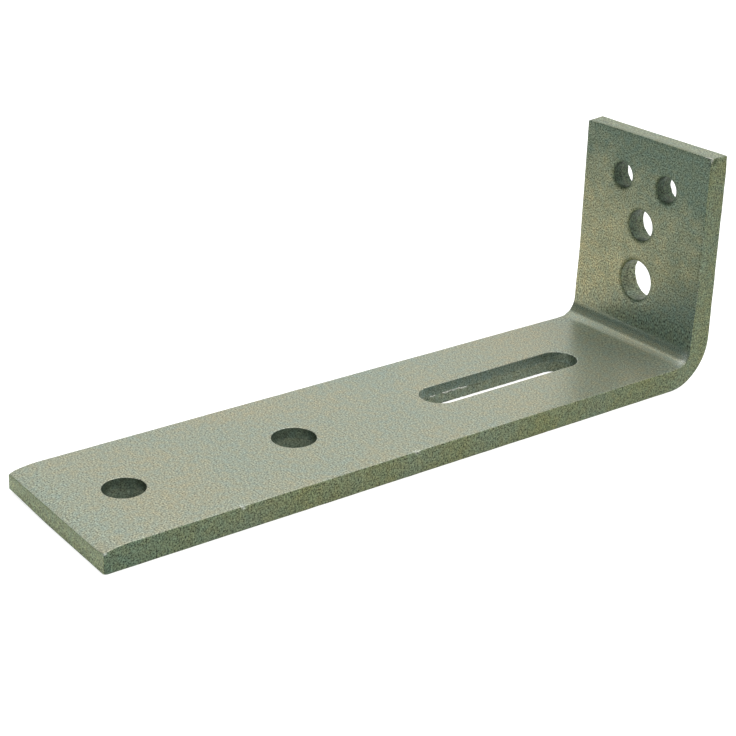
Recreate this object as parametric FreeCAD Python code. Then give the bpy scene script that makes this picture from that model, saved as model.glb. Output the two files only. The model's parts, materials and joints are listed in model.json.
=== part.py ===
import FreeCAD, Part
import math
import os

from FreeCAD import Vector

# Angle anchor: a flat steel bar, cropped to length, punched while flat and folded once to an L.
# Millimetres. The long leg lies along Y on the ground, the short leg stands at its +Y end,
# X runs across the bar, and the origin is under the middle of the whole anchor.

# The rolled flat bar
bar_width = 45.0
bar_thickness = 6.0
bar_edge_round = 0.2

# The fold, with both legs measured over the outside. The former is sharp, so the bar thins in the bend.
long_leg_length = 180.0
short_leg_length = 62.5
bend_outside_radius = 12.5
bend_inside_radius = 4.5

# The cropped ends: the shear drags the face down towards the cut and rounds the corners
free_end_roll_depth = 1.4
free_end_roll_length = 7.0
upright_end_roll_depth = 0.8
upright_end_roll_length = 3.5
crop_corner_round = 0.35

# The punched section: rolled mouth, straight land, then a fracture that widens to the far face.
# The slot's punch has more play in its die, so its fracture widens more.
slot_leg_roll_depth = 0.1
slot_leg_roll_width = 0.15
upright_roll_depth = 0.25
upright_roll_width = 1.2
punch_land_end = 2.8
hole_break_out = 0.6
slot_break_out = 1.1

# Openings of the long leg, all on the bar's middle line
end_hole_diameter = 10.2
end_hole_from_end = 17.2
middle_hole_diameter = 11.0
middle_hole_from_end = 63.0
slot_width = 10.4
slot_start_from_end = 102.0
slot_finish_from_bend = 15.0

# Openings of the short leg
bolt_hole_diameter = 11.0
bolt_hole_above_bend = 10.5
lag_hole_diameter = 8.5
lag_hole_from_end = 24.0
screw_hole_diameter = 6.9
screw_hole_from_end = 12.0
screw_hole_spacing = 16.0

# How far every cutter reaches past the face that it cuts
cutter_reach = 1.0

# Places that follow from the sizes above
free_end = -long_leg_length / 2.0
outer_face = long_leg_length / 2.0
inner_face = outer_face - bar_thickness
bend_start = outer_face - bend_outside_radius

ACROSS = Vector(1, 0, 0)
ALONG = Vector(0, 1, 0)
UP = Vector(0, 0, 1)


def closed_face(start_edge, points):
    """The face inside an edge and the straight lines that lead from its end back to its start."""
    edges = [start_edge]
    corner = start_edge.lastVertex().Point
    for point in points + [start_edge.firstVertex().Point]:
        edges.append(Part.makeLine(corner, point))
        corner = point
    return Part.Face(Part.Wire(edges))


def rolled_edge(start, towards_cut, into_bar, length, depth):
    """The arc of a face dragged down by a cut: it leaves the face smoothly at start."""
    radius = (length ** 2 + depth ** 2) / (2.0 * depth)
    half_turn = math.atan2(depth, length)
    middle_run = radius * math.sin(half_turn)
    middle_drop = radius * (1.0 - math.cos(half_turn))
    middle = start + towards_cut * middle_run + into_bar * middle_drop
    end = start + towards_cut * length + into_bar * depth
    return Part.Arc(start, middle, end).toShape()


def bend_arc(centre_y, centre_z, radius):
    """A quarter turn at the bar's -X side, from the foot of its circle round to the +Y side."""
    centre = Vector(-bar_width / 2.0, centre_y, centre_z)
    points = []
    for turn in (0, 45, 90):
        angle = math.radians(turn)
        points.append(centre + (ALONG * math.sin(angle) - UP * math.cos(angle)) * radius)
    return Part.Arc(*points).toShape()


def folded_bar():
    """The L seen from the side, as wide as the bar, with the mill's rounds on its long edges."""
    side = -ACROSS * (bar_width / 2.0)
    outside = bend_arc(bend_start, bend_outside_radius, bend_outside_radius)
    inside_height = bar_thickness + bend_inside_radius
    inside = bend_arc(inner_face - bend_inside_radius, inside_height, bend_inside_radius)
    top_corners = [side + Vector(0, y, short_leg_length) for y in (outer_face, inner_face)]
    end_corners = [side + Vector(0, free_end, z) for z in (bar_thickness, 0)]
    corners = [outside.lastVertex().Point] + top_corners + [inside.lastVertex().Point]
    edges = [outside, inside]
    edges += [Part.makeLine(start, finish) for start, finish in zip(corners, corners[1:])]
    corners = [inside.firstVertex().Point] + end_corners + [outside.firstVertex().Point]
    edges += [Part.makeLine(start, finish) for start, finish in zip(corners, corners[1:])]
    profile = Part.Face(Part.Wire(Part.__sortEdges__(edges)))
    square_bar = profile.extrude(ACROSS * bar_width)
    return square_bar.makeFillet(bar_edge_round, long_edges(square_bar))


def long_edges(bar):
    """The edges that run the bar's whole length on both sides, without those of its cut ends."""
    found = []
    for edge in bar.Edges:
        box = edge.BoundBox
        on_side = box.XLength < cutter_reach
        at_free_end = box.YMax < free_end + cutter_reach
        on_top = box.ZMin > short_leg_length - cutter_reach
        if on_side and not at_free_end and not on_top:
            found.append(edge)
    return found


def crop_roll(cut_edge, towards_cut, into_bar, length, depth):
    """What the shear leaves out above the dragged-down face, over the bar's whole width."""
    overhang = bar_width / 2.0 + cutter_reach
    corner = cut_edge - ACROSS * overhang
    roll_start = corner - towards_cut * length
    arc = rolled_edge(roll_start, towards_cut, into_bar, length, depth)
    outside = towards_cut * cutter_reach
    above = into_bar * -cutter_reach
    points = [
        corner + into_bar * depth + outside,
        corner + outside + above,
        roll_start + above,
    ]
    return closed_face(arc, points).extrude(ACROSS * (2.0 * overhang))


def crop_corner(corner, outwards, towards_cut, through):
    """What the shear leaves out beyond one rounded corner of a cropped end."""
    low_corner = corner - through * cutter_reach
    centre = low_corner - (outwards + towards_cut) * crop_corner_round
    diagonal = (outwards + towards_cut) * (crop_corner_round * math.sqrt(0.5))
    on_side = centre + outwards * crop_corner_round
    on_end = centre + towards_cut * crop_corner_round
    arc = Part.Arc(on_side, centre + diagonal, on_end).toShape()
    points = [
        on_end + towards_cut * cutter_reach,
        low_corner + (outwards + towards_cut) * cutter_reach,
        on_side + outwards * cutter_reach,
    ]
    return closed_face(arc, points).extrude(through * (bar_thickness + 2.0 * cutter_reach))


def crops():
    """Both cropped ends: the free end's upper edge and the short leg's outer edge, with their corners."""
    free_edge = Vector(0, free_end, bar_thickness)
    upright_edge = Vector(0, outer_face, short_leg_length)
    cuts = [
        crop_roll(free_edge, -ALONG, -UP, free_end_roll_length, free_end_roll_depth),
        crop_roll(upright_edge, UP, -ALONG, upright_end_roll_length, upright_end_roll_depth),
    ]
    for side in (-ACROSS, ACROSS):
        bar_side = side * (bar_width / 2.0)
        cuts.append(crop_corner(bar_side + ALONG * free_end, side, -ALONG, UP))
        cuts.append(crop_corner(bar_side + Vector(0, inner_face, short_leg_length), side, UP, ALONG))
    return cuts


def punch_half_section(half_width, roll_width, roll_depth, break_out):
    """Half of a punched opening's section, with the punch coming down along -Z from the face at 0."""
    mouth = Vector(half_width + roll_width, 0, 0)
    arc = rolled_edge(mouth, -ACROSS, -UP, roll_width, roll_depth)
    far_half = half_width + break_out
    past_far_face = -(bar_thickness + cutter_reach)
    points = [
        Vector(half_width, 0, -punch_land_end),
        Vector(far_half, 0, -bar_thickness),
        Vector(far_half, 0, past_far_face),
        Vector(0, 0, past_far_face),
        Vector(0, 0, cutter_reach),
        mouth + UP * cutter_reach,
    ]
    return closed_face(arc, points)


def round_punch(diameter, roll_width, roll_depth, break_out):
    """A round punch standing at the origin."""
    section = punch_half_section(diameter / 2.0, roll_width, roll_depth, break_out)
    return section.revolve(Vector(), UP, 360)


def slot_punch(width, length, roll_width, roll_depth, break_out):
    """A slot punch with half-round ends, centred on the origin and lying along Y."""
    straight = length - width
    end = round_punch(width, roll_width, roll_depth, break_out)
    section = punch_half_section(width / 2.0, roll_width, roll_depth, break_out)
    side = section.translated(ALONG * (-straight / 2.0)).extrude(ALONG * straight)
    far_side = side.mirror(Vector(), ACROSS)
    ends = [end.translated(ALONG * (straight / 2.0)), end.translated(ALONG * (-straight / 2.0))]
    return side.fuse([far_side] + ends).removeSplitter()


def long_leg_punches():
    """Two round holes and the slot, punched from the long leg's upper face."""
    roll = (slot_leg_roll_width, slot_leg_roll_depth)
    slot_start = free_end + slot_start_from_end
    slot_finish = bend_start - slot_finish_from_bend
    slot_length = slot_finish - slot_start
    places = [
        (round_punch(end_hole_diameter, *roll, hole_break_out), free_end + end_hole_from_end),
        (round_punch(middle_hole_diameter, *roll, hole_break_out), free_end + middle_hole_from_end),
        (slot_punch(slot_width, slot_length, *roll, slot_break_out), (slot_start + slot_finish) / 2.0),
    ]
    return [punch.translated(Vector(0, y, bar_thickness)) for punch, y in places]


def short_leg_punches():
    """Four round holes, punched from the short leg's inner face, which is the same face of the bar."""
    lag_height = short_leg_length - lag_hole_from_end
    screw_height = short_leg_length - screw_hole_from_end
    places = [
        (bolt_hole_diameter, 0.0, bend_outside_radius + bolt_hole_above_bend),
        (lag_hole_diameter, 0.0, lag_height),
        (screw_hole_diameter, -screw_hole_spacing / 2.0, screw_height),
        (screw_hole_diameter, screw_hole_spacing / 2.0, screw_height),
    ]
    punches = []
    for diameter, x, height in places:
        punch = round_punch(diameter, upright_roll_width, upright_roll_depth, hole_break_out)
        facing_leg = punch.rotated(Vector(), ACROSS, 90)
        punches.append(facing_leg.translated(Vector(x, inner_face, height)))
    return punches


anchor = folded_bar().cut(crops() + long_leg_punches() + short_leg_punches())
os.makedirs("parts", exist_ok=True)
anchor.Solids[0].exportStep("parts/angle_anchor.step")
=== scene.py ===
import json
import math
from collections import namedtuple

import bpy
from mathutils import Matrix, Vector, noise
from mathutils.geometry import delaunay_2d_cdt


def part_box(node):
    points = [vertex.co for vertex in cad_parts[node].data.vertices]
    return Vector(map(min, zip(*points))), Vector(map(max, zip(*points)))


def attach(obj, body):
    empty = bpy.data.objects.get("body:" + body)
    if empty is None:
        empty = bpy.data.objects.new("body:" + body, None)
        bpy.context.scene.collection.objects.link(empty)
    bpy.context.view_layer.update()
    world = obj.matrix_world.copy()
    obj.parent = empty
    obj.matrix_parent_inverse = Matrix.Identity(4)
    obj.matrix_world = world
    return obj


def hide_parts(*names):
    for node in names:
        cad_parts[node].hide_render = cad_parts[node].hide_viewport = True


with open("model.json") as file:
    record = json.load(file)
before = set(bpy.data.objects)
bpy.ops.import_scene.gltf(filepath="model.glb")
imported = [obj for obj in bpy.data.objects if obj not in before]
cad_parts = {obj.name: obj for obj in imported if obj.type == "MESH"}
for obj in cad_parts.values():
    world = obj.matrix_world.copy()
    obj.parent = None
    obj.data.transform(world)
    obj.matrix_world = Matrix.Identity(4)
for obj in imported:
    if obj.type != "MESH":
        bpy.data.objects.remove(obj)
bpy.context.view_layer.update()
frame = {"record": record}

# The blank. A length of hot-rolled mild steel flat bar with the mill's square edges, cropped at both
# ends in a shear that drags one face down at each cut. It is worked out lying flat, before the fold:
# x runs across the bar, y along it from the free end, and z up to the face that the punch enters.
MM = 0.001
anchor_low, anchor_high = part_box("angle_anchor")
half_width = anchor_high.x
bar_thickness = 6.0 * MM
bend_outside_radius = 12.5 * MM
bend_inside_radius = 4.5 * MM
flat_run = anchor_high.y - bend_outside_radius - anchor_low.y
bend_run = math.pi / 2.0 * (bend_inside_radius + bend_outside_radius) / 2.0
upright_run = anchor_high.z - bend_outside_radius
bend_end = flat_run + bend_run
blank_length = bend_end + upright_run

# An unevenness: how large its bumps are, and a number that sets it apart from the others
Ripple = namedtuple("Ripple", "size seed")
face_wave = Ripple(24.0 * MM, 1.0)
face_wave_height = 0.03 * MM

# The shear's drag: on the punched face at the free end, where the near corner stands higher, and on the
# outer face at the short leg's end, where it is deeper at the far side
free_end_drag_depth = 1.4 * MM
free_end_drag_length = 7.0 * MM
near_corner_stand = 0.5 * MM
near_corner_reach = 4.0 * MM
upright_end_drag_depth = 0.7 * MM
upright_end_drag_lean = 0.5 * MM
upright_end_drag_length = 3.5 * MM

# What the fold does to the punched face: the bend's near side sinks, metal heaps up as the bend starts,
# and more of it in a crease further round
bend_fall_depth = 0.3 * MM
bend_fall_width = 4.2 * MM
run_in_height = 0.62 * MM
run_in_before = 1.8 * MM
run_in_after = 3.6 * MM
run_in_share = 0.7
crease_starts = 5.2 * MM
crease_ends = 8.0 * MM
run_out_before = 4.0 * MM
run_out_after = 14.0 * MM

# Knocks that pushed the bar's edges in: place across and along the blank, reach and depth of each. The
# shear lifted the free end's far corner off the floor in the same way.
Knock = namedtuple("Knock", "x y reach depth")
far_corner_lift = Knock(-half_width, 0.0, 12.0 * MM, 0.6 * MM)
face_knocks = (
    Knock(-half_width, 0.0, 0.8 * MM, 0.35 * MM),
    Knock(half_width, 9.0 * MM, 1.4 * MM, 0.12 * MM),
    Knock(half_width, 34.6 * MM, 0.5 * MM, 0.30 * MM),
    Knock(half_width, 82.9 * MM, 0.7 * MM, 0.22 * MM),
    Knock(half_width - 0.5 * MM, blank_length - 0.6 * MM, 0.6 * MM, 0.6 * MM),
)
outer_knocks = (
    Knock(half_width, blank_length - 1.4 * MM, 0.5 * MM, 0.08 * MM),
    Knock(half_width, blank_length - 2.8 * MM, 0.4 * MM, 0.06 * MM),
)

# An opening's place and straight wall, the width and depth of its dragged mouth, and how far its
# fracture widens
Opening = namedtuple("Opening", "x y radius straight mouth_width mouth_depth break_out")
long_leg_mouth = (0.15 * MM, 0.1 * MM)
upright_mouth = (1.2 * MM, 0.25 * MM)
hole_break_out = 0.6 * MM
slot_break_out = 0.5 * MM


def ripple(kind, x, y, z=0.0):
    """One kind of smooth unevenness at a place, from -1 to 1."""
    return noise.noise(Vector((x, y, z)) / kind.size + Vector((1.0, 2.0, 3.0)) * kind.seed)


def eased(value, start, finish):
    """A smooth rise from 0 at start to 1 at finish."""
    share = min(max((value - start) / (finish - start), 0.0), 1.0)
    return share * share * (3.0 - 2.0 * share)


def close_to(x, y, spot):
    """How near a place is to a spot, from 0 to 1, within that spot's reach."""
    away = math.hypot(x - spot.x, y - spot.y) / spot.reach
    return math.exp(-away * away)


def punched_openings():
    """The record's holes and slot, each at its place on the flat blank."""
    found = []
    for mount in frame["record"]["mounts"]:
        sizes = mount["dims"]
        radius = sizes.get("r_mm", sizes.get("hole_r_mm", 0.0)) * MM
        if radius:
            x, y, z = mount["pos_m"]
            in_upright = mount["axis"][1] != 0
            along = bend_end + z - bend_outside_radius if in_upright else y - anchor_low.y
            straight = max(sizes.get("slot_length_mm", 0.0) * MM - 2.0 * radius, 0.0)
            mouth = upright_mouth if in_upright else long_leg_mouth
            break_out = slot_break_out if straight else hole_break_out
            found.append(Opening(x, along, radius, straight, *mouth, break_out))
    return found


def clear_of(opening, x, y):
    """How far a place lies outside an opening's straight wall."""
    past_side = max(abs(y - opening.y) - opening.straight / 2.0, 0.0)
    return math.hypot(x - opening.x, past_side) - opening.radius


def knocked(knocks, x, y):
    """How deep the knocks have pushed the bar in at a place."""
    return sum(knock.depth * close_to(x, y, knock) for knock in knocks)


def bend_fall(x, y):
    """How far, from 0 to 1, the fold has let the inside of the bend sink along the bar's near side."""
    turned = min(max((y - flat_run) / bend_run, 0.0), 1.0)
    share = max(1.0 - (half_width - x) / bend_fall_width, 0.0)
    return math.sin(math.pi * turned) * share * share


def fold_run_in(y):
    """Metal heaped up where the inside of the bend begins, before it turns sharply: from 0 to 1."""
    risen = run_in_share * eased(y, flat_run - run_in_before, flat_run + run_in_after)
    risen += (1.0 - run_in_share) * eased(y, flat_run + crease_starts, flat_run + crease_ends)
    return risen * (1.0 - eased(y, bend_end - run_out_before, bend_end + run_out_after))


def punched_face(x, y):
    """Height of the face that the punch enters, with what the shear, the punches and the fold did."""
    height = bar_thickness + face_wave_height * ripple(face_wave, x, y)
    stand = near_corner_stand * eased(x, half_width - near_corner_reach, half_width)
    height -= (free_end_drag_depth - stand) * max(1.0 - y / free_end_drag_length, 0.0) ** 2
    for opening in openings:
        share = 1.0 - max(clear_of(opening, x, y), 0.0) / opening.mouth_width
        height -= opening.mouth_depth * max(share, 0.0) ** 2
    height += run_in_height * fold_run_in(y)
    return height - bend_fall_depth * bend_fall(x, y) - knocked(face_knocks, x, y)


def outer_face(x, y):
    """Height of the face that ends up outside: flat, but dragged up at both cuts."""
    share = 1.0 - (blank_length - y) / upright_end_drag_length
    drag_depth = upright_end_drag_depth - upright_end_drag_lean * x / half_width
    return drag_depth * max(share, 0.0) ** 2 + knocked((far_corner_lift, *outer_knocks), x, y)


openings = punched_openings()

# The mesh, with how far each point belongs to each kind of surface, how much painted shade it carries
# and how bright it is with wear and painted highlights, all from 0 to 1, for the finish to read
places = []
faces = []
marks = {"mill_edge": [], "cropped": [], "land": [], "torn": [], "thin": [], "worn": []}


def lay(ring):
    """Adds points, each with its surface marks, and gives their numbers."""
    first = len(places)
    for place, marked in ring:
        places.append(place)
        for mark, values in marks.items():
            values.append(marked.get(mark, 0.0))
    return list(range(first, len(places)))


def skin(upper, lower, outwards):
    """Quads from one closed ring down to the next."""
    for this in range(len(upper)):
        after = (this + 1) % len(upper)
        quad = (upper[this], lower[this], lower[after], upper[after])
        faces.append(quad if outwards else quad[::-1])


# The punched openings. Each is one stroke of a press: the punch drags the face down a little, shears
# a straight burnished land, and then the rest tears off in a rough fracture that widens to the far
# face, with a ragged line between the two.
wall_step = 0.4 * MM
exit_margin = 0.3 * MM
land_depth = 2.8 * MM
land_raggedness = 0.45 * MM
land_wander = Ripple(3.0 * MM, 5.0)
land_jag = Ripple(0.9 * MM, 6.0)
land_jag_share = 0.5
tear_ledge = 0.14 * MM
tear_roughness = 0.17 * MM
tear_lump = Ripple(1.1 * MM, 7.0)
tear_grit = Ripple(0.5 * MM, 8.0)
tear_grit_share = 0.6
ledge_dash = Ripple(2.2 * MM, 9.0)
ledge_dash_level = -0.15

# Painted shade and highlights at the openings: the long leg's rims carry a painted highlight, the rims
# take half the land's painted shade, the walls of a round hole are painted darker as shade, the more the
# smaller it is, and so are the mouths of the upright's holes, while a larger upright hole's land is
# painted less dark
rim_highlight = 0.2
rim_land = 0.5
hole_tear_mark = 0.3
mouth_shade = 0.8
small_hole_shade = 0.98
hole_shade_by_size = 0.2 / MM
land_shade_by_size = 0.2 / MM
smallest = min(opening.radius for opening in openings)

mouth_shares = (0.2, 0.45, 0.7, 1.0)
land_shares = (0.06, 0.4, 0.75, 1.0)
tear_shares = (0.06, 0.2, 0.36, 0.52, 0.68, 0.84, 1.0)


def spokes(opening):
    """For points all round an opening: where on its middle line each starts and which way it lies."""
    arc_steps = round(math.pi * opening.radius / wall_step)
    side_steps = round(opening.straight / wall_step)
    spread = []
    for end in (1, -1):
        half = end * opening.straight / 2.0
        for step in range(arc_steps):
            angle = math.pi * step / arc_steps
            spread.append((half, end * math.cos(angle), end * math.sin(angle)))
        for step in range(side_steps):
            spread.append((half - 2.0 * half * step / side_steps, -end, 0.0))
    return spread


def around(opening, grow):
    """Places round an opening that lie grow outside its straight wall, one growth for each spoke."""
    ring = []
    for (start, across, along), more in zip(spokes(opening), grow):
        reach = opening.radius + more
        ring.append((opening.x + across * reach, opening.y + start + along * reach))
    return ring


def on_face(ring, marked):
    """Points of the punched face at those places, all with the same marks."""
    return [((x, y, punched_face(x, y)), marked) for x, y in ring]


def mouth_points(opening, in_upright):
    """The numbers of the points over an opening's dragged mouth and just past it."""
    count = len(spokes(opening))
    numbers = []
    for share in mouth_shares:
        fading = 1.0 - share
        # The mouths fade from painted shade on the upright and from a painted highlight on the long leg
        marked = {"thin": mouth_shade * fading} if in_upright else {"worn": rim_highlight * fading}
        numbers += lay(on_face(around(opening, [share * opening.mouth_width] * count), marked))
    return numbers + lay(on_face(around(opening, [opening.mouth_width + wall_step] * count), {}))


def land_end(x, y):
    """Height at which the straight land ends and the fracture starts, along a ragged line."""
    ragged = ripple(land_wander, x, y) + land_jag_share * ripple(land_jag, x, y)
    return bar_thickness - land_depth + land_raggedness * ragged


def tear(opening, x, y, end, share):
    """How far the fracture lies outside the straight wall, at a share of its way to the far face."""
    z = end * (1.0 - share)
    jag = ripple(tear_lump, x, y, z) + tear_grit_share * ripple(tear_grit, x, y, z)
    return tear_ledge + (opening.break_out - tear_ledge) * share + tear_roughness * jag


def ledge_highlight(opening, x, y):
    """A painted highlight on the ledge under the land: in dashes, and only at the slot's first end."""
    first_third = opening.straight and y < opening.y - opening.straight / 6.0
    return 1.0 if first_third and ripple(ledge_dash, x, y) > ledge_dash_level else 0.0


def punch(opening):
    """One opening's mouth and wall: the numbers of its rim, its mouth, its exit and the points past that."""
    in_upright = opening.y > bend_end
    larger = opening.radius - smallest
    torn = 1.0 if opening.straight else hole_tear_mark
    # Painted shade in the wall: more for a smaller round hole, and less of the land's dark colour for a
    # larger upright hole
    thin = 0.0 if opening.straight else small_hole_shade - larger * hole_shade_by_size
    land_shade = 1.0 - larger * land_shade_by_size if in_upright else 1.0

    mouth = mouth_points(opening, in_upright)
    wall = around(opening, [0.0] * len(spokes(opening)))
    ends = [land_end(x, y) for x, y in wall]
    # The rims get painted shade on the upright and a painted highlight on the long leg
    rim_look = {"thin": thin} if in_upright else {"worn": rim_highlight}
    rim = lay(on_face(wall, {"land": rim_land, **rim_look}))
    above = rim
    for share in land_shares:
        ring = []
        for (x, y), end in zip(wall, ends):
            top = punched_face(x, y)
            ring.append(((x, y, top + (end - top) * share), {"land": land_shade, "thin": thin}))
        below = lay(ring)
        skin(above, below, False)
        above = below
    for share in tear_shares:
        grow = [tear(opening, x, y, end, share) for (x, y), end in zip(wall, ends)]
        ring = []
        for (x, y), end in zip(around(opening, grow), ends):
            z = end + (outer_face(x, y) - end) * share
            # A painted highlight along the ledge, in dashes
            rub_and_highlight = ledge_highlight(opening, x, y) if share == tear_shares[0] else 0.0
            marked = {"torn": torn, "land": land_shade - torn, "thin": thin, "worn": rub_and_highlight}
            ring.append(((x, y, z), marked))
        below = lay(ring)
        skin(above, below, False)
        above = below
    ring = around(opening, [more + exit_margin for more in grow])
    past_exit = lay([((x, y, outer_face(x, y)), {}) for x, y in ring])
    return rim, mouth, above, past_exit


rims, mouths, exits, past_exits = zip(*(punch(opening) for opening in openings))

# The bar's edges and cut ends. The long sides are the mill's rolled edges, hardly rounded and a little
# uneven. The two ends are sheared, and the shear has spread the far corner of the free end and rounded
# the near one towards its foot.
outline_step = 0.7 * MM
corner_steps = 7
end_ray = 0.87
round_angles = (0.0, 30.0, 60.0, 90.0)
wall_shares = (0.12, 0.24, 0.36, 0.48, 0.6, 0.72, 0.84, 0.94)

mill_round = 0.15 * MM
mill_round_upper = Ripple(3.5 * MM, 11.0)
mill_round_lower = Ripple(3.5 * MM, 12.0)
mill_round_change = 0.5
mill_unevenness = 0.07 * MM
mill_wave = Ripple(6.0 * MM, 13.0)
crop_round = 0.35 * MM
crop_foot_share = 0.4
near_foot_round = 1.0 * MM
crop_land_share = 0.3
crop_tear_roughness = 0.06 * MM
crop_tear = Ripple(0.8 * MM, 14.0)

# How far the shear pushed out the free end's far side, and the short leg's end at its far corner, at
# the punched face and at the outer one
Spot = namedtuple("Spot", "x y reach strength")
far_spread_length = 6.0 * MM
far_spread_face = 0.8 * MM
far_spread_foot = 1.3 * MM
far_tip_corner = Spot(-half_width, blank_length, 6.0 * MM, 1.0)
far_tip_face = -0.35 * MM
far_tip_foot = 0.21 * MM

# Painted glints at burrs and a painted shadow in a notch on the near edge, and painted shade under the
# top edge of each cut end
burr_glints = (
    Spot(half_width, 0.3 * MM, 0.35 * MM, 0.5),
    Spot(half_width, 34.6 * MM, 0.4 * MM, 0.6),
    Spot(half_width, 82.9 * MM, 0.5 * MM, 0.6),
    Spot(half_width - 0.9 * MM, blank_length, 1.1 * MM, 0.8),
)
notch_shadows = (Spot(half_width, blank_length - 0.9 * MM, 0.8 * MM, 1.0),)
notch_shadow_share = 0.3
edge_rub = Ripple(5.0 * MM, 15.0)
edge_rub_strength = 0.2
crop_shade = 0.4
crop_shade_share = 0.6


def stations():
    """Points all round the bar's outline: the corner each follows, how far it is to the next, its ray."""
    side_steps = round(blank_length / outline_step)
    end_steps = round(2.0 * half_width / outline_step)
    spread = []
    for corner, steps in enumerate((side_steps, end_steps, side_steps, end_steps)):
        for step in range(corner_steps):
            angle = math.radians(90.0 * (corner - 1 + step / corner_steps))
            spread.append((corner, 0.0, math.cos(angle), math.sin(angle)))
        for step in range(steps):
            angle = math.radians(90.0 * corner)
            spread.append((corner, step / steps, math.cos(angle), math.sin(angle)))
    return spread


def outline_place(station, rounds, inset):
    """Where a point of the outline lies when its corners have those rounds and it is set in so far."""
    corner, share, across, along = station
    centres = []
    for number in (corner, (corner + 1) % 4):
        side = 1.0 if number in (0, 1) else -1.0
        end = blank_length if number in (1, 2) else 0.0
        inwards = -1.0 if number in (1, 2) else 1.0
        reach = rounds[number]
        centres.append((side * (half_width - reach), end + inwards * reach, reach))
    x, y, reach = (a + (b - a) * share for a, b in zip(*centres))
    return x + across * (reach - inset), y + along * (reach - inset)


def far_spread(x, y, depth):
    """How far the shear has pushed the bar's far side out, next to the free end."""
    near_end = max(1.0 - y / far_spread_length, 0.0) ** 2
    at_side = max(-x / half_width, 0.0) ** 4
    return (far_spread_face + (far_spread_foot - far_spread_face) * depth) * near_end * at_side


def far_tip(x, y, depth):
    """How far the cut across the short leg's end runs out of square at its far corner."""
    skew = far_tip_face + (far_tip_foot - far_tip_face) * depth
    return skew * close_to(x, y, far_tip_corner)


def near_any(spots, x, y):
    """How strongly the strongest of those spots shows at a place, from 0 to 1."""
    return max(spot.strength * close_to(x, y, spot) for spot in spots)


def edge_marks(level, stop, turn, at_end, x, y, z):
    """The surface marks of one point of the outer wall."""
    marked = {"cropped" if at_end else "mill_edge": math.sin(turn)}
    if level == "top":
        on_round = round_angles[0] < stop < round_angles[-1]
        rub_and_highlight = max(0.0, edge_rub_strength * ripple(edge_rub, x, y, z)) if on_round else 0.0
        on_rim = stop > round_angles[0] or not at_end
        # Rubbed wear along the round, and painted glints at the burrs
        marked["worn"] = max(rub_and_highlight, near_any(burr_glints, x, y) if on_rim else 0.0)
        # Painted shade under a cut end's top edge, and a painted shadow in the notch on the wall
        marked["thin"] = crop_shade * math.sin(turn) if at_end else 0.0
    elif level == "wall" and at_end:
        marked["thin"] = crop_shade * max(1.0 - stop / crop_shade_share, 0.0)
    elif level == "wall" and stop < notch_shadow_share:
        marked["thin"] = near_any(notch_shadows, x, y)
    return marked


def wall_ring(level, stop):
    """One ring of the outer wall: level is top, wall or foot, and stop its angle or its share."""
    turn = math.radians(90.0 if level == "wall" else stop)
    ring = []
    for station in bar_stations:
        corner, share, across, along = station
        at_end = abs(along) > end_ray
        on_side = 1.0 if share and not at_end else 0.0
        x, y = outline_place(station, [crop_round] * 4, mill_round)
        upper = punched_face(x, y)
        lower = outer_face(x, y)
        edge = mill_round * (1.0 + mill_round_change * ripple(mill_round_upper, x, y, upper))
        foot = mill_round * (1.0 + mill_round_change * ripple(mill_round_lower, x, y, lower))
        foot *= crop_foot_share if at_end else 1.0
        if level == "top":
            inset = edge * (1.0 - math.sin(turn)) + on_side * knocked(face_knocks, x, y)
            z = upper - edge * (1.0 - math.cos(turn))
        elif level == "foot":
            inset = foot * (1.0 - math.sin(turn)) + on_side * knocked(outer_knocks, x, y)
            z = lower + foot * (1.0 - math.cos(turn))
        else:
            inset = 0.0
            z = upper - edge + (lower + foot - upper + edge) * stop
        inset += mill_unevenness * 0.5 * (1.0 + ripple(mill_wave, x, y, z))
        if at_end and level == "wall" and stop > crop_land_share:
            inset += crop_tear_roughness * (1.0 + ripple(crop_tear, x, y, z))
        marked = edge_marks(level, stop, turn, at_end, x, y, z)
        depth = min(max(1.0 - z / bar_thickness, 0.0), 1.0)
        near_round = crop_round + (near_foot_round - crop_round) * depth ** 2
        x, y = outline_place(station, [near_round, crop_round, crop_round, crop_round], inset)
        ring.append(((x - far_spread(x, y, depth), y + far_tip(x, y, depth), z), marked))
    return ring


bar_stations = stations()
levels = [("top", angle) for angle in round_angles]
levels += [("wall", share) for share in wall_shares]
levels += [("foot", angle) for angle in reversed(round_angles)]
edge_rings = [lay(wall_ring(level, stop)) for level, stop in levels]
for above, below in zip(edge_rings, edge_rings[1:]):
    skin(above, below, True)

# The two faces of the bar. Between the edges and the openings they are the mill's rolled skin, and the
# sunk near side of the bend carries a painted highlight.
face_step = 0.8 * MM
face_margin = 0.7 * MM
mouth_margin = 0.8 * MM
outer_face_step = 1.6 * MM
outer_face_margin = 1.2 * MM
break_out_margin = 0.9 * MM
merge_within_mm = 1e-5
bend_highlight_patches = Ripple(1.2 * MM, 16.0)
bend_highlight_strength = 0.9


def spread_over(step, margin, reaches):
    """Places in staggered rows over a face, clear of its edge and so far of each of its openings."""
    spread = []
    row_height = step * math.sqrt(0.75)
    for row in range(1, int(blank_length / row_height)):
        y = row * row_height
        for column in range(int(2.0 * half_width / step) + 1):
            x = -half_width + step * (column + 0.5 * (row % 2))
            in_bar = abs(x) < half_width - margin and margin < y < blank_length - margin
            clear = all(clear_of(opening, x, y) > reach for opening, reach in zip(openings, reaches))
            if in_bar and clear:
                spread.append((x, y))
    return spread


def bend_highlight(x, y):
    """A painted highlight on the sunk side of the bend, in uneven patches."""
    return bend_highlight_strength * bend_fall(x, y) * (1.0 + ripple(bend_highlight_patches, x, y))


def inside(loop, place):
    """Whether a place lies within a closed loop of points."""
    odd = False
    for start, finish in zip(loop, loop[1:] + loop[:1]):
        if (start.y > place.y) != (finish.y > place.y):
            cross = start.x + (place.y - start.y) * (finish.x - start.x) / (finish.y - start.y)
            odd ^= place.x < cross
    return odd


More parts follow.
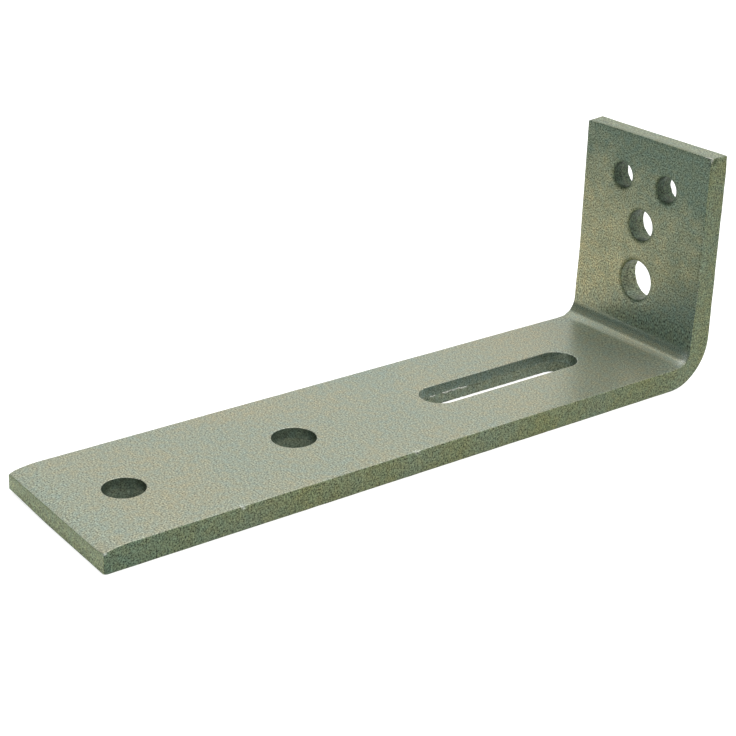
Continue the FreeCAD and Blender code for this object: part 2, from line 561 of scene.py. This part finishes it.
def cover(outline, hole_rims, filler, upwards):
    """Triangles over a face, from its outline in to the rims of its openings."""
    numbers = []
    edges = []
    for loop in (outline, *hole_rims):
        first = len(numbers)
        numbers += loop
        edges += [(first + step, first + (step + 1) % len(loop)) for step in range(len(loop))]
    numbers += filler
    flat = [Vector(places[number]).xy / MM for number in numbers]
    spread = delaunay_2d_cdt(flat, edges, [], 1, merge_within_mm)
    rim_of = {number: rim for rim in range(len(hole_rims)) for number in hole_rims[rim]}
    loops = [[Vector(places[number]).xy for number in rim] for rim in hole_rims]
    for triangle in spread[2]:
        corners = [numbers[spread[3][corner][0]] for corner in triangle]
        touched = {rim_of.get(corner) for corner in corners}
        if len(touched) == 1 and None not in touched:
            total = sum((Vector(places[corner]).xy for corner in corners), Vector((0.0, 0.0)))
            if inside(loops[touched.pop()], total / 3.0):
                continue
        faces.append(corners if upwards else corners[::-1])


mouth_reaches = [opening.mouth_width + mouth_margin for opening in openings]
# The face's points, with the painted highlight on the bend
face_points = lay([((x, y, punched_face(x, y)), {"worn": bend_highlight(x, y)})
                   for x, y in spread_over(face_step, face_margin, mouth_reaches)])
cover(edge_rings[0], rims, sum(mouths, []) + face_points, True)
exit_reaches = [opening.break_out + break_out_margin for opening in openings]
outer_points = lay([((x, y, outer_face(x, y)), {})
                    for x, y in spread_over(outer_face_step, outer_face_margin, exit_reaches)])
cover(edge_rings[-1], exits, sum(past_exits, []) + outer_points, False)

blank_mesh = bpy.data.meshes.new("flat_blank")
blank_mesh.from_pydata(places, [], faces)
for mark, values in marks.items():
    layer = blank_mesh.attributes.new(mark, "FLOAT", "POINT")
    layer.data.foreach_set("value", values)
folded_bar = bpy.data.objects.new("folded_bar", blank_mesh)
bpy.context.scene.collection.objects.link(folded_bar)

# The fold and the finish. The flat blank is laid over a die and pressed round a former to a square L,
# which squeezes the metal out sideways inside the bend and draws it in outside. It is then zinc plated.
# The flat place of each point goes along as the attribute blank, which the finish follows.
inside_swell = 0.014
thinning_run = 3.5 * MM
sharp_angle = math.radians(35.0)

# The bar's real grain is finer than this and is drawn coarser, so that it shows
grain_size = 0.40 * MM
hue_size = 2.0 * MM
hue_levels = (0.3, 0.7)
mottle_size = 4.0 * MM
mottle_levels = (0.3, 0.7)
cloud_size = 22.0 * MM
cloud_levels = (0.35, 0.65)
face_grain_depth = 2.6
edge_grain_depth = 3.5
darkest_grain = 0.2
face_relief = 0.05
edge_relief = 0.45
relief_height = 0.06 * MM
metal_share = 0.62
smoothest = 0.30
dullest = 0.36
torn_dullness = 0.15

# Painted shade on the short leg: darker and greener up the leg, to the near side and to the tip, with a
# painted blue-green reflection low down that reaches highest at the near side; and how far the painted
# shade on the mill edges deepens towards the free end
shade_up_leg = 0.8
shade_far_side = -0.13
shade_near_side = 0.30
shade_at_tip = 0.3
tip_starts = blank_length - 18.0 * MM
tip_full = blank_length - 4.0 * MM
leg_starts = bend_end - 0.75 * bend_run
reflection_starts = bend_end - 0.5 * bend_run
reflection_full = bend_end - 0.25 * bend_run
reflection_ends = bend_end + 11.0 * MM
reflection_slant = -0.4
reflection_strength = 0.8
edge_shade_length = 40.0 * MM


def add_node(tree, kind, inputs=None, **settings):
    """Outputs of a new node with those settings; each input is a value or the socket that feeds it.

    Math and Mix nodes have inputs of the same name, so theirs go by number. A Mix node's factor is 0,
    its colours are 6 and 7, and its mixed colour is output 2.
    """
    node = tree.nodes.new(kind)
    for name, value in settings.items():
        setattr(node, name, value)
    for name, value in (inputs or {}).items():
        if isinstance(value, bpy.types.NodeSocket):
            tree.links.new(value, node.inputs[name])
        else:
            node.inputs[name].default_value = value
    return node.outputs


def linear(hex_code):
    """An sRGB hex colour as the linear values that a shader takes."""
    channels = [int(hex_code[place:place + 2], 16) / 255.0 for place in (1, 3, 5)]
    return [c / 12.92 if c <= 0.04045 else ((c + 0.055) / 1.055) ** 2.4 for c in channels] + [1.0]


def shaded_leg(tree, across, along, mottle):
    """The short leg's colour, with painted shade and a painted reflection.

    It is painted lighter and yellow low down at the far side, and darker and greener as shade up the leg,
    to the near side and to the tip, in random blotches, with a painted blue-green reflection low down
    that reaches highest at the near side.
    """
    up_leg = add_node(tree, "ShaderNodeMapRange", {
        "Value": along, "From Min": bend_end, "From Max": blank_length, "To Max": shade_up_leg})
    to_side = add_node(tree, "ShaderNodeMapRange", {
        "Value": across, "From Min": -half_width, "From Max": half_width,
        "To Min": shade_far_side, "To Max": shade_near_side})
    at_tip = add_node(tree, "ShaderNodeMapRange", {
        "Value": along, "From Min": tip_starts, "From Max": tip_full, "To Max": shade_at_tip})
    leaning = add_node(tree, "ShaderNodeMath", {0: up_leg[0], 1: to_side[0]}, operation="ADD")
    leaning = add_node(tree, "ShaderNodeMath", {0: leaning[0], 1: at_tip[0]}, operation="ADD")
    blotched = add_node(tree, "ShaderNodeMath", {0: mottle, 1: 0.5}, operation="SUBTRACT")
    leg_shade = add_node(tree, "ShaderNodeMath", {0: leaning[0], 1: blotched[0]}, operation="ADD",
                       use_clamp=True)
    leg = add_node(tree, "ShaderNodeMix", {0: leg_shade[0], 6: linear("#C4BE9A"), 7: linear("#7F8E7D")},
                   data_type="RGBA")[2]

    # A painted blue-green reflection low down on the leg, reaching highest at the near side
    slanting = add_node(tree, "ShaderNodeMath", {0: across, 1: reflection_slant, 2: along},
                        operation="MULTIPLY_ADD")
    low_down = add_node(tree, "ShaderNodeMapRange", {
        "Value": slanting[0], "From Min": bend_end, "From Max": reflection_ends,
        "To Min": reflection_strength, "To Max": 0.0})
    above_bend = add_node(tree, "ShaderNodeMapRange", {
        "Value": along, "From Min": reflection_starts, "From Max": reflection_full})
    painted_reflection = add_node(tree, "ShaderNodeMath", {0: low_down[0], 1: above_bend[0]}, operation="MULTIPLY")
    return add_node(tree, "ShaderNodeMix", {0: painted_reflection[0], 6: leg, 7: linear("#8D9F98")},
                    data_type="RGBA")[2]


def zinc_plated_steel():
    """Zinc plated hot-rolled steel: a dull metal with a green-grey passivation.

    The plating shows the bar's grainy skin as a fine speckle and the rinse as soft yellow and blue
    clouds. The mill's edges are painted darker and greener as shade, most of all at the free end, the
    short leg carries painted shade and a painted reflection, and the sheared ends are yellower. Hole
    walls are painted dark as shade, and bright spots are partly rubbed wear and partly painted highlights
    and glints.
    """
    material = bpy.data.materials.new("zinc_plated_hot_rolled_steel")
    material.use_nodes = True
    tree = material.node_tree
    shader = tree.nodes["Principled BSDF"]
    flat = add_node(tree, "ShaderNodeAttribute", attribute_name="blank")["Vector"]
    across, along, through = add_node(tree, "ShaderNodeSeparateXYZ", {0: flat})
    mark = {name: add_node(tree, "ShaderNodeAttribute", attribute_name=name)["Fac"] for name in marks}

    # The grain follows the flat place on a face, and the depth only down a wall
    on_edge = add_node(tree, "ShaderNodeMath", {0: mark["mill_edge"], 1: mark["cropped"]}, operation="ADD")
    in_hole = add_node(tree, "ShaderNodeMath", {0: mark["land"], 1: mark["torn"]}, operation="ADD")
    on_wall = add_node(tree, "ShaderNodeMath", {0: on_edge[0], 1: in_hole[0]}, operation="ADD",
                       use_clamp=True)
    below_face = add_node(tree, "ShaderNodeMath", {0: through, 1: bar_thickness}, operation="SUBTRACT")
    down_wall = add_node(tree, "ShaderNodeMath", {0: below_face[0], 1: on_wall[0]}, operation="MULTIPLY")
    on_skin = add_node(tree, "ShaderNodeCombineXYZ", {0: across, 1: along, 2: down_wall[0]})[0]

    cloud = add_node(tree, "ShaderNodeTexNoise", {"Vector": flat, "Scale": 1.0 / cloud_size, "Detail": 3.0})
    mottle = add_node(tree, "ShaderNodeTexNoise",
                      {"Vector": flat, "Scale": 1.0 / mottle_size, "Detail": 4.0})
    hue = add_node(tree, "ShaderNodeTexNoise", {"Vector": on_skin, "Scale": 1.0 / hue_size, "Detail": 1.0})
    grain = add_node(tree, "ShaderNodeTexNoise",
                     {"Vector": on_skin, "Scale": 1.0 / grain_size, "Detail": 1.0})

    # The plating on the long leg, the short leg with its painted shade, and each kind of edge and wall; the
    # mill edges and the hole walls' land and fracture are painted darker as shade
    cloudy = add_node(tree, "ShaderNodeMapRange", {
        "Value": cloud["Fac"], "From Min": cloud_levels[0], "From Max": cloud_levels[1]})
    rinsed = add_node(tree, "ShaderNodeMix", {0: cloudy[0], 6: linear("#AEB5A7"), 7: linear("#B8B6A1")},
                      data_type="RGBA")[2]
    on_leg = add_node(tree, "ShaderNodeMapRange",
                      {"Value": along, "From Min": leg_starts, "From Max": bend_end})
    leg = shaded_leg(tree, across, along, mottle["Fac"])
    plate = add_node(tree, "ShaderNodeMix", {0: on_leg[0], 6: rinsed, 7: leg}, data_type="RGBA")[2]
    sheared = add_node(tree, "ShaderNodeMix", {0: on_leg[0], 6: linear("#ABB491"), 7: linear("#9EA690")},
                       data_type="RGBA")[2]
    # The mill edges are painted darker and greener as shade, in random patches, and darkest at the free end
    patchy_edge_shade = add_node(tree, "ShaderNodeMix", {0: cloudy[0], 6: linear("#7A846E"), 7: linear("#7E835F")},
                      data_type="RGBA")[2]
    from_free_end = add_node(tree, "ShaderNodeMapRange", {"Value": along, "From Max": edge_shade_length})
    shaded_edge = add_node(tree, "ShaderNodeMix", {0: from_free_end[0], 6: linear("#6C7C68"), 7: patchy_edge_shade},
                      data_type="RGBA")[2]
    # The land and fracture colours are painted shade in the hole walls; the sheared ends' colour is their own
    wall_colours_and_shade = {"cropped": sheared, "mill_edge": shaded_edge, "land": linear("#7F8B7F"), "torn": linear("#8E9684")}
    for name, colour in wall_colours_and_shade.items():
        plate = add_node(tree, "ShaderNodeMix", {0: mark[name], 6: plate, 7: colour}, data_type="RGBA")[2]
    # Painted shade multiplied in: hole walls and mouths, a band under the cut ends' top edges and a notch's
    # shadow
    plate = add_node(tree, "ShaderNodeMix", {0: mark["thin"], 6: plate, 7: linear("#A8B3A4")},
                     data_type="RGBA", blend_type="MULTIPLY")[2]

    # Specks of warm and cool plating, bright spots of rubbed wear and painted highlights, and the grain over
    # all of it
    hued = add_node(tree, "ShaderNodeMapRange", {
        "Value": hue["Fac"], "From Min": hue_levels[0], "From Max": hue_levels[1]})
    speck = add_node(tree, "ShaderNodeMix", {0: hued[0], 6: linear("#FFFCF2"), 7: linear("#F2FCFF")},
                     data_type="RGBA")[2]
    plate = add_node(tree, "ShaderNodeMix", {0: 1.0, 6: plate, 7: speck}, data_type="RGBA",
                     blend_type="MULTIPLY")[2]
    # Bright spots: rubbed wear on edges, painted highlights on rims, the slot's ledge and the bend, and
    # painted glints at burrs
    plate = add_node(tree, "ShaderNodeMix", {0: mark["worn"], 6: plate, 7: linear("#EEEFEA")},
                     data_type="RGBA")[2]
    coarse = add_node(tree, "ShaderNodeMath", {0: on_edge[0], 1: on_leg[0]}, operation="MAXIMUM")
    depth = add_node(tree, "ShaderNodeMapRange",
                     {"Value": coarse[0], "To Min": face_grain_depth, "To Max": edge_grain_depth})
    uneven = add_node(tree, "ShaderNodeMath", {0: grain["Fac"], 1: 0.5}, operation="SUBTRACT")
    speckle = add_node(tree, "ShaderNodeMath", {0: uneven[0], 1: depth[0], 2: 1.0},
                       operation="MULTIPLY_ADD")
    speckle = add_node(tree, "ShaderNodeMath", {0: speckle[0], 1: darkest_grain}, operation="MAXIMUM")
    plate = add_node(tree, "ShaderNodeMix", {0: 1.0, 6: plate, 7: speckle[0]}, data_type="RGBA",
                     blend_type="MULTIPLY")[2]
    tree.links.new(plate, shader.inputs["Base Color"])

    dull = add_node(tree, "ShaderNodeMapRange", {
        "Value": mottle["Fac"], "From Min": mottle_levels[0], "From Max": mottle_levels[1],
        "To Min": smoothest, "To Max": dullest})
    rough = add_node(tree, "ShaderNodeMath", {0: mark["torn"], 1: torn_dullness, 2: dull[0]},
                     operation="MULTIPLY_ADD")
    tree.links.new(rough[0], shader.inputs["Roughness"])
    shader.inputs["Metallic"].default_value = metal_share

    relief = add_node(tree, "ShaderNodeMapRange",
                      {"Value": on_edge[0], "To Min": face_relief, "To Max": edge_relief})
    bump = add_node(tree, "ShaderNodeBump",
                    {"Strength": relief[0], "Distance": relief_height, "Height": grain["Fac"]})
    tree.links.new(bump[0], shader.inputs["Normal"])
    return material


def press_brake():
    """The node tree that folds the blank, with its sizes as named inputs."""
    tree = bpy.data.node_groups.new("press_brake", "GeometryNodeTree")
    tree.interface.new_socket("Geometry", in_out="OUTPUT", socket_type="NodeSocketGeometry")
    tree.interface.new_socket("Geometry", in_out="INPUT", socket_type="NodeSocketGeometry")
    for name in ("Free End", "Flat Run", "Bend Run", "Outside Radius", "Inside Radius", "Bar Thickness",
                 "Thinning Run", "Inside Swell"):
        tree.interface.new_socket(name, in_out="INPUT", socket_type="NodeSocketFloat")
    tree.interface.new_socket("Finish", in_out="INPUT", socket_type="NodeSocketMaterial")
    given = add_node(tree, "NodeGroupInput")
    math_node = "ShaderNodeMath"

    position = add_node(tree, "GeometryNodeInputPosition")[0]
    kept = add_node(tree, "GeometryNodeStoreNamedAttribute",
                    {"Geometry": given["Geometry"], "Name": "blank", "Value": position},
                    data_type="FLOAT_VECTOR", domain="POINT")
    x, y, z = add_node(tree, "ShaderNodeSeparateXYZ", {0: position})
    level = add_node(tree, math_node, {0: z, 1: given["Bar Thickness"]}, operation="DIVIDE")[0]
    past_flat = add_node(tree, math_node, {0: y, 1: given["Flat Run"]}, operation="SUBTRACT")[0]
    past_bend = add_node(tree, math_node, {0: past_flat, 1: given["Bend Run"]}, operation="SUBTRACT")[0]
    beyond = add_node(tree, math_node, {0: past_bend, 1: 0.0}, operation="MAXIMUM")[0]
    on_flat = add_node(tree, math_node, {0: y, 1: given["Flat Run"]}, operation="MINIMUM")[0]
    from_end = add_node(tree, math_node, {0: on_flat, 1: given["Free End"]}, operation="ADD")[0]
    turned = add_node(tree, math_node, {0: past_flat, 1: given["Bend Run"]}, operation="DIVIDE",
                      use_clamp=True)[0]
    angle = add_node(tree, math_node, {0: turned, 1: math.pi / 2.0}, operation="MULTIPLY")[0]
    sine = add_node(tree, math_node, {0: angle}, operation="SINE")[0]
    cosine = add_node(tree, math_node, {0: angle}, operation="COSINE")[0]

    # The inside is bent sharper than the outside, so the bar thins and each layer bends a little later
    sharper = add_node(tree, math_node, {0: given["Outside Radius"], 1: given["Inside Radius"]},
                       operation="SUBTRACT")[0]
    tightened = add_node(tree, math_node, {0: sharper, 1: level}, operation="MULTIPLY")[0]
    radius = add_node(tree, math_node, {0: given["Outside Radius"], 1: tightened}, operation="SUBTRACT")[0]
    thinning = add_node(tree, math_node, {0: sharper, 1: given["Bar Thickness"]}, operation="SUBTRACT")[0]
    later = add_node(tree, math_node, {0: thinning, 1: level}, operation="MULTIPLY")[0]
    run_in = add_node(tree, math_node, {0: past_flat, 1: given["Thinning Run"]}, operation="DIVIDE")[0]
    eased_in = add_node(tree, math_node, {0: run_in, 1: 1.0}, operation="ADD", use_clamp=True)[0]
    eased_out = add_node(tree, math_node, {0: past_bend, 1: given["Thinning Run"]}, operation="DIVIDE",
                         use_clamp=True)[0]

    straight_y = add_node(tree, math_node, {0: later, 1: eased_in, 2: from_end}, operation="MULTIPLY_ADD")[0]
    folded_y = add_node(tree, math_node, {0: radius, 1: sine, 2: straight_y}, operation="MULTIPLY_ADD")[0]
    fall = add_node(tree, math_node, {0: radius, 1: cosine, 2: later}, operation="MULTIPLY_ADD")[0]
    rise = add_node(tree, math_node, {0: given["Outside Radius"], 1: fall}, operation="SUBTRACT")[0]
    straight_z = add_node(tree, math_node, {0: later, 1: eased_out, 2: beyond}, operation="MULTIPLY_ADD")[0]
    folded_z = add_node(tree, math_node, {0: rise, 1: straight_z}, operation="ADD")[0]

    # The bar swells sideways inside the bend and narrows outside it, most of all half way round
    off_middle = add_node(tree, math_node, {0: level, 1: 0.5}, operation="SUBTRACT")[0]
    in_bend = add_node(tree, math_node, {0: sine, 1: cosine}, operation="MULTIPLY")[0]
    swollen = add_node(tree, math_node, {0: in_bend, 1: given["Inside Swell"]}, operation="MULTIPLY")[0]
    spread = add_node(tree, math_node, {0: off_middle, 1: swollen}, operation="MULTIPLY")[0]
    folded_x = add_node(tree, math_node, {0: spread, 1: x, 2: x}, operation="MULTIPLY_ADD")[0]
    place = add_node(tree, "ShaderNodeCombineXYZ", {0: folded_x, 1: folded_y, 2: folded_z})[0]
    folded = add_node(tree, "GeometryNodeSetPosition", {"Geometry": kept[0], "Position": place})
    realized = add_node(tree, "GeometryNodeRealizeInstances", {"Geometry": folded[0]})
    finished = add_node(tree, "GeometryNodeSetMaterial",
                        {"Geometry": realized[0], "Material": given["Finish"]})
    add_node(tree, "NodeGroupOutput", {"Geometry": finished[0]})
    return tree


fold = folded_bar.modifiers.new("fold", "NODES")
fold.node_group = press_brake()
fold_sizes = {
    "Free End": anchor_low.y,
    "Flat Run": flat_run,
    "Bend Run": bend_run,
    "Outside Radius": bend_outside_radius,
    "Inside Radius": bend_inside_radius,
    "Bar Thickness": bar_thickness,
    "Thinning Run": thinning_run,
    "Inside Swell": inside_swell,
    "Finish": zinc_plated_steel(),
}
for item in fold.node_group.interface.items_tree:
    if item.in_out == "INPUT" and item.name in fold_sizes:
        fold[item.identifier] = fold_sizes[item.name]
evaluated_bar = folded_bar.evaluated_get(bpy.context.evaluated_depsgraph_get())
folded_mesh = bpy.data.meshes.new_from_object(evaluated_bar)
folded_bar.modifiers.clear()
folded_bar.data = folded_mesh
folded_mesh.name = "folded_bar"
folded_mesh.shade_smooth()
folded_mesh.set_sharp_from_angle(angle=sharp_angle)
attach(folded_bar, "root")
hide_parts("angle_anchor")

# The floor. A pale paper sweep that the anchor lies on. To the eye it glows white with a soft shadow,
# and to the metal it glows as a painted pool of light, brightest close to the anchor.
floor_half_size = 3.0
floor_gap = 0.2 * MM
floor_lift_to_white = 0.8
pool_edge = 100.0 * MM
pool_end = 300.0 * MM

floor_mesh = bpy.data.meshes.new("paper_floor")
corners = [(-1, -1), (1, -1), (1, 1), (-1, 1)]
floor_mesh.from_pydata([(x * floor_half_size, y * floor_half_size, -floor_gap) for x, y in corners], [],
                       [(0, 1, 2, 3)])
floor = bpy.data.objects.new("paper_floor", floor_mesh)
bpy.context.scene.collection.objects.link(floor)


def matt_paper():
    """Matt white paper with no gloss: to the eye it glows white with a soft shadow under the bar, and to the
    metal it glows as a painted pool of light, brightest close to the anchor.
    """
    material = bpy.data.materials.new("matt_paper")
    material.use_nodes = True
    tree = material.node_tree
    tree.nodes.clear()
    sheet = add_node(tree, "ShaderNodeBsdfDiffuse", {"Color": linear("#C8C8C6")})
    place = add_node(tree, "ShaderNodeTexCoord")["Object"]
    away = add_node(tree, "ShaderNodeVectorMath", {0: place}, operation="LENGTH")["Value"]
    dimmed = add_node(tree, "ShaderNodeMapRange",
                      {"Value": away, "From Min": pool_edge, "From Max": pool_end},
                      interpolation_type="SMOOTHSTEP")
    # A painted pool of light that only the metal sees, brightest close to the anchor
    painted_pool_glow = add_node(tree, "ShaderNodeMix", {0: dimmed[0], 6: linear("#747470"), 7: linear("#242626")},
                        data_type="RGBA")[2]
    path = add_node(tree, "ShaderNodeLightPath")
    seen = add_node(tree, "ShaderNodeMath", {0: path["Is Camera Ray"], 1: path["Is Transmission Ray"]},
                    operation="MAXIMUM")
    colour = add_node(tree, "ShaderNodeMix", {0: seen[0], 6: painted_pool_glow, 7: linear("#FFFFFF")},
                      data_type="RGBA")[2]
    lift = add_node(tree, "ShaderNodeMath", {0: seen[0], 1: floor_lift_to_white, 2: path["Is Glossy Ray"]},
                    operation="MULTIPLY_ADD")
    glow = add_node(tree, "ShaderNodeEmission", {"Color": colour, "Strength": lift[0]})
    both = add_node(tree, "ShaderNodeAddShader", {0: sheet[0], 1: glow[0]})
    add_node(tree, "ShaderNodeOutputMaterial", {"Surface": both[0]})
    return material


floor_mesh.materials.append(matt_paper())

# The studio. A bright cloth behind the anchor, a dim room behind the camera, a pale panel overhead, and
# one large soft lamp high on the right, which gives the shadow its side and isn't mirrored. The limits
# of cloth and panel say how far back or up a direction points.
cloth_starts = -0.21
cloth_full = -0.06
cloth_lit = 0.15
cloth_dimmed = 0.35
panel_starts = 0.45
panel_full = 0.9
lamp_place = Vector((0.5, 0.25, 0.85))
lamp_size = 0.7
lamp_watts = 5.2

studio = bpy.data.worlds.new("studio")
bpy.context.scene.world = studio
studio.use_nodes = True
tree = studio.node_tree
direction = add_node(tree, "ShaderNodeTexCoord")["Generated"]
heading = add_node(tree, "ShaderNodeSeparateXYZ", {0: direction})
to_cloth = add_node(tree, "ShaderNodeMapRange",
                    {"Value": heading["Y"], "From Min": cloth_starts, "From Max": cloth_full},
                    interpolation_type="SMOOTHSTEP")
up_cloth = add_node(tree, "ShaderNodeMapRange",
                    {"Value": heading["Z"], "From Min": cloth_lit, "From Max": cloth_dimmed})
to_panel = add_node(tree, "ShaderNodeMapRange",
                    {"Value": heading["Z"], "From Min": panel_starts, "From Max": panel_full},
                    interpolation_type="SMOOTHSTEP")
cloth = add_node(tree, "ShaderNodeMix", {0: up_cloth[0], 6: linear("#EEEEEC"), 7: linear("#CECECA")},
                 data_type="RGBA")[2]
room = add_node(tree, "ShaderNodeMix", {0: to_cloth[0], 6: linear("#5A6664"), 7: cloth},
                data_type="RGBA")[2]
light = add_node(tree, "ShaderNodeMix", {0: to_panel[0], 6: room, 7: linear("#D2D2D2")},
                 data_type="RGBA", blend_type="ADD")[2]
path = add_node(tree, "ShaderNodeLightPath")
seen = add_node(tree, "ShaderNodeMath", {0: path["Is Camera Ray"], 1: path["Is Transmission Ray"]},
                operation="MAXIMUM")
backdrop = add_node(tree, "ShaderNodeMix", {0: seen[0], 6: light, 7: linear("#FFFFFF")},
                    data_type="RGBA")[2]
tree.links.new(backdrop, tree.nodes["Background"].inputs["Color"])

lamp = bpy.data.objects.new("soft_lamp", bpy.data.lights.new("soft_lamp", "AREA"))
lamp.data.size = lamp_size
lamp.data.energy = lamp_watts
lamp.visible_glossy = False
lamp.location = lamp_place
lamp.rotation_euler = (-lamp_place).to_track_quat("-Z", "Y").to_euler()
bpy.context.scene.collection.objects.link(lamp)

# The camera. It stands as for the photograph: a long lens from the front right, a little tilted,
# with its place and angles solved from the edges and holes that the photograph shows.
camera_azimuth = math.radians(53.3046)
camera_elevation = math.radians(23.6973)
camera_roll = math.radians(1.2239)
camera_eye = Vector((302.535, -230.886, 184.422)) * MM
camera_lens = 83.1776
camera_sensor = 36.0

forward = Vector((
    -math.sin(camera_azimuth) * math.cos(camera_elevation),
    math.cos(camera_azimuth) * math.cos(camera_elevation),
    -math.sin(camera_elevation),
))
level_right = Vector((math.cos(camera_azimuth), math.sin(camera_azimuth), 0.0))
level_up = level_right.cross(forward)
right = level_right * math.cos(camera_roll) + level_up * math.sin(camera_roll)
up = level_up * math.cos(camera_roll) - level_right * math.sin(camera_roll)
turned_to_anchor = Matrix((right, up, -forward)).transposed().to_4x4()
camera = bpy.data.objects.new("camera", bpy.data.cameras.new("camera"))
camera.data.lens = camera_lens
camera.data.sensor_width = camera_sensor
camera.matrix_world = Matrix.Translation(camera_eye) @ turned_to_anchor
bpy.context.scene.collection.objects.link(camera)
bpy.context.scene.camera = camera
bpy.context.scene.view_settings.view_transform = "Standard"
